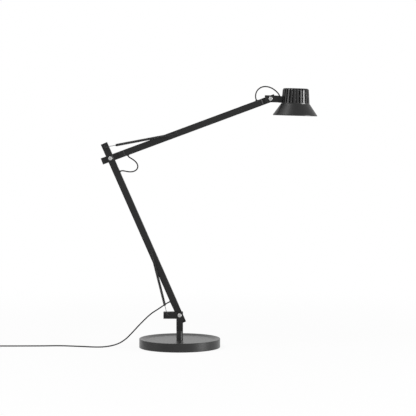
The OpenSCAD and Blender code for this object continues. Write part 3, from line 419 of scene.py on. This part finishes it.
PAINT_BLACK = (0.01, 0.01, 0.0101)
PLASTIC_BLACK = (0.012, 0.012, 0.0122)
arm_coat = surface("arm_coat", PAINT_BLACK, rough=0.4, grain=0.5, bump=0.05, specular=0.24, edge=0.5)
base_coat = surface(
    "base_coat", (0.013, 0.013, 0.0131), rough=0.32, grain=0.45, bump=0.04, specular=0.36, edge=0.6,
)
sink_coat = surface("sink_coat", PAINT_BLACK, rough=0.28, grain=0.3, bump=0.04, specular=0.42, edge=0.4)
shade_coat = surface("shade_coat", PAINT_BLACK, rough=0.38, grain=0.5, bump=0.04, specular=0.28, edge=0.4)
screw_metal = surface(
    "screw_metal", (0.43, 0.43, 0.426), rough=0.4, grain=0.2, bump=0.05, edge=0.2, tone=0.05, metallic=1,
)
zinc = surface(
    "zinc", (0.45, 0.46, 0.48), rough=0.35, grain=0.3, bump=0.1, edge=0.2, tone=0.1, metallic=1,
)
spring_black = surface(
    "spring_steel", (0.014, 0.014, 0.0142), rough=0.38, grain=0.3, bump=0.05, specular=0.28,
)
# painted highlight: this lighter grey on the collars stands in for light caught by the edges where the
# tube meets its end fittings
collar_painted_highlight = surface("collar", (0.07, 0.07, 0.0705), rough=0.4, grain=0.3, bump=0.05, specular=0.4)
hook_steel = surface(
    "hook_steel", (0.03, 0.03, 0.0303), rough=0.4, grain=0.2, bump=0.05, specular=0.3, metallic=0.3,
)
nylon = surface("nylon", PLASTIC_BLACK, rough=0.5, grain=0.3, bump=0.1, specular=0.3)
rubber = surface("rubber", (0.009, 0.009, 0.0092), rough=0.6, grain=0.35, bump=0.2, specular=0.25)
jacket = surface("cord_jacket", (0.006, 0.006, 0.0061), rough=0.5, grain=0.3, bump=0.08, specular=0.18)
plug_black = surface("plug_plastic", PLASTIC_BLACK, rough=0.45, grain=0.35, bump=0.2, specular=0.35)
pin_metal = surface(
    "pin_metal", (0.75, 0.72, 0.62), rough=0.25, grain=0.2, bump=0.05, tone=0.05, metallic=1,
)
board = surface("board", (0.82, 0.82, 0.8), rough=0.4, grain=0.3, bump=0.1, tone=0.04)
diodes = surface("diodes", (0.85, 0.65, 0.2), rough=0.35, grain=0.3, bump=0.2, tone=0.08)
white_cone = surface("reflector_white", (0.85, 0.85, 0.83), rough=0.3, grain=0.3, bump=0.1, tone=0.03)
opal = surface("opal", (0.86, 0.86, 0.84), rough=0.55, grain=0.3, bump=0.2, tone=0.03)

FINISH = {
    arm_coat: "foot_bracket foot_tongue lower_tube elbow_fork elbow_tongue upper_tube head_tongue "
    "head_bracket head_block foot_spring_pin foot_arm_pin elbow_spring_pin elbow_arm_pin "
    "foot_spring_seat elbow_spring_seat",
    base_coat: "base_plate post",
    sink_coat: "heat_sink",
    shade_coat: "shade retaining_ring",
    screw_metal: "foot_pivot_screw elbow_pivot_screw head_pivot_screw",
    zinc: "base_bolt swivel_screw foot_pivot_nut elbow_pivot_nut head_pivot_nut shade_screws",
    hook_steel: "foot_spring_hook foot_spring_end elbow_spring_hook elbow_spring_end",
    nylon: "swivel_washer swivel_bush foot_washers elbow_washers head_washers",
    rubber: "base_pad supply_grommet lower_grommet elbow_grommet upper_grommet",
    jacket: "lower_lead upper_lead head_lead",
    plug_black: "plug_body",
    pin_metal: "plug_pins",
    board: "led_board",
    diodes: "led_array",
    white_cone: "mixing_cone",
    opal: "diffuser",
}
for material, names in FINISH.items():
    for node_name in names.split():
        obj = bpy.data.objects[node_name]
        if not obj.material_slots:
            obj.data.materials.append(material)
        for slot in obj.material_slots:
            slot.material = material
for obj, material, slot_name in (
    (supply, jacket, "cord_jacket"), (relief, rubber, "cord_jacket"), (elbow_lead, jacket, "cord_jacket"),
    (head_lead, jacket, "cord_jacket"), (foot_coil, spring_black, "spring_steel"),
    (elbow_coil, spring_black, "spring_steel"), (head_collar, collar_painted_highlight, "arm_coat"),
    (elbow_collar, collar_painted_highlight, "arm_coat"),
):
    obj.data.materials.append(material)


# Floor and background, in metres: white to the camera and in mirrors, and dimmer as lights

FILL_LIGHT = 0.2
FLOOR_HALF, FLOOR_GREY = 9, 0.9
SHADOW_NEAR, SHADOW_FAR, NEAR_WHITE = 0.3, 1.5, 0.92
WHITE = (1, 1, 1, 1)


def seen_rays(tree):
    """1 on the rays that see white: from the camera, off a gloss or through a clear piece."""
    path = new_node(tree, "LightPath")
    value = path.outputs["Is Camera Ray"]
    for name in ("Is Glossy Ray", "Is Transmission Ray"):
        peak = new_node(tree, "Math")
        peak.operation = "MAXIMUM"
        tree.links.new(value, peak.inputs[0])
        tree.links.new(path.outputs[name], peak.inputs[1])
        value = peak.outputs[0]
    return value


def link_mix(tree, share, first, second, out):
    """The output shows first, and second over it as far as share says."""
    mix = new_node(tree, "MixShader")
    tree.links.new(share, mix.inputs["Fac"])
    tree.links.new(first.outputs[0], mix.inputs[1])
    tree.links.new(second.outputs[0], mix.inputs[2])
    tree.links.new(mix.outputs[0], out.inputs["Surface"])


world = bpy.data.worlds.new("studio")
scene.world = world
tree = emptied_tree(world)
fill = new_node(tree, "Background", Color=WHITE, Strength=FILL_LIGHT)
backdrop = new_node(tree, "Background", Color=WHITE, Strength=1)
link_mix(tree, seen_rays(tree), fill, backdrop, new_node(tree, "OutputWorld"))

floor_corners = [(FLOOR_HALF * x, FLOOR_HALF * y, 0) for x, y in ((-1, -1), (1, -1), (1, 1), (-1, 1))]
floor = new_object("floor", floor_corners, [(0, 1, 2, 3)], rounded=False)
floor_mat = bpy.data.materials.new("floor")
tree = emptied_tree(floor_mat)
away = new_node(tree, "VectorMath")
away.operation = "LENGTH"
tree.links.new(new_node(tree, "TexCoord").outputs["Object"], away.inputs[0])
whiter = new_node(tree, "MapRange", From_Min=SHADOW_NEAR, From_Max=SHADOW_FAR, To_Min=NEAR_WHITE, To_Max=1)
whiter.interpolation_type = "SMOOTHSTEP"
tree.links.new(away.outputs["Value"], whiter.inputs["Value"])
share = new_node(tree, "Math")
share.operation = "MULTIPLY"
tree.links.new(seen_rays(tree), share.inputs[0])
tree.links.new(whiter.outputs["Result"], share.inputs[1])
pale = new_node(tree, "BsdfDiffuse", Color=(FLOOR_GREY, FLOOR_GREY, FLOOR_GREY, 1))
glow = new_node(tree, "Emission", Color=WHITE, Strength=1)
link_mix(tree, share.outputs[0], pale, glow, new_node(tree, "OutputMaterial"))
floor.data.materials.append(floor_mat)


# Lights

LIGHT_TARGET, LIGHT_DISTANCE = Vector((0.05, 0, 0.35)), 2.7


def soft_light(name, azimuth, height, size, power):
    """A soft box turned to the lamp; the azimuth counts from the camera's side towards +X."""
    data = bpy.data.lights.new(name, "AREA")
    data.shape = "RECTANGLE"
    data.size, data.size_y = size
    data.energy = power
    obj = bpy.data.objects.new(name, data)
    a, e = math.radians(azimuth), math.radians(height)
    out = Vector((math.cos(e) * math.sin(a), -math.cos(e) * math.cos(a), math.sin(e)))
    obj.location = LIGHT_TARGET + LIGHT_DISTANCE * out
    obj.rotation_euler = out.to_track_quat("Z", "Y").to_euler()
    scene.collection.objects.link(obj)


soft_light("side_right", azimuth=66, height=4, size=(1.1, 1.1), power=84)
soft_light("side_left", azimuth=-70, height=8, size=(0.7, 2), power=13)
soft_light("overhead", azimuth=-62, height=52, size=(1.2, 1.2), power=46)

scene.view_settings.view_transform = "Standard"
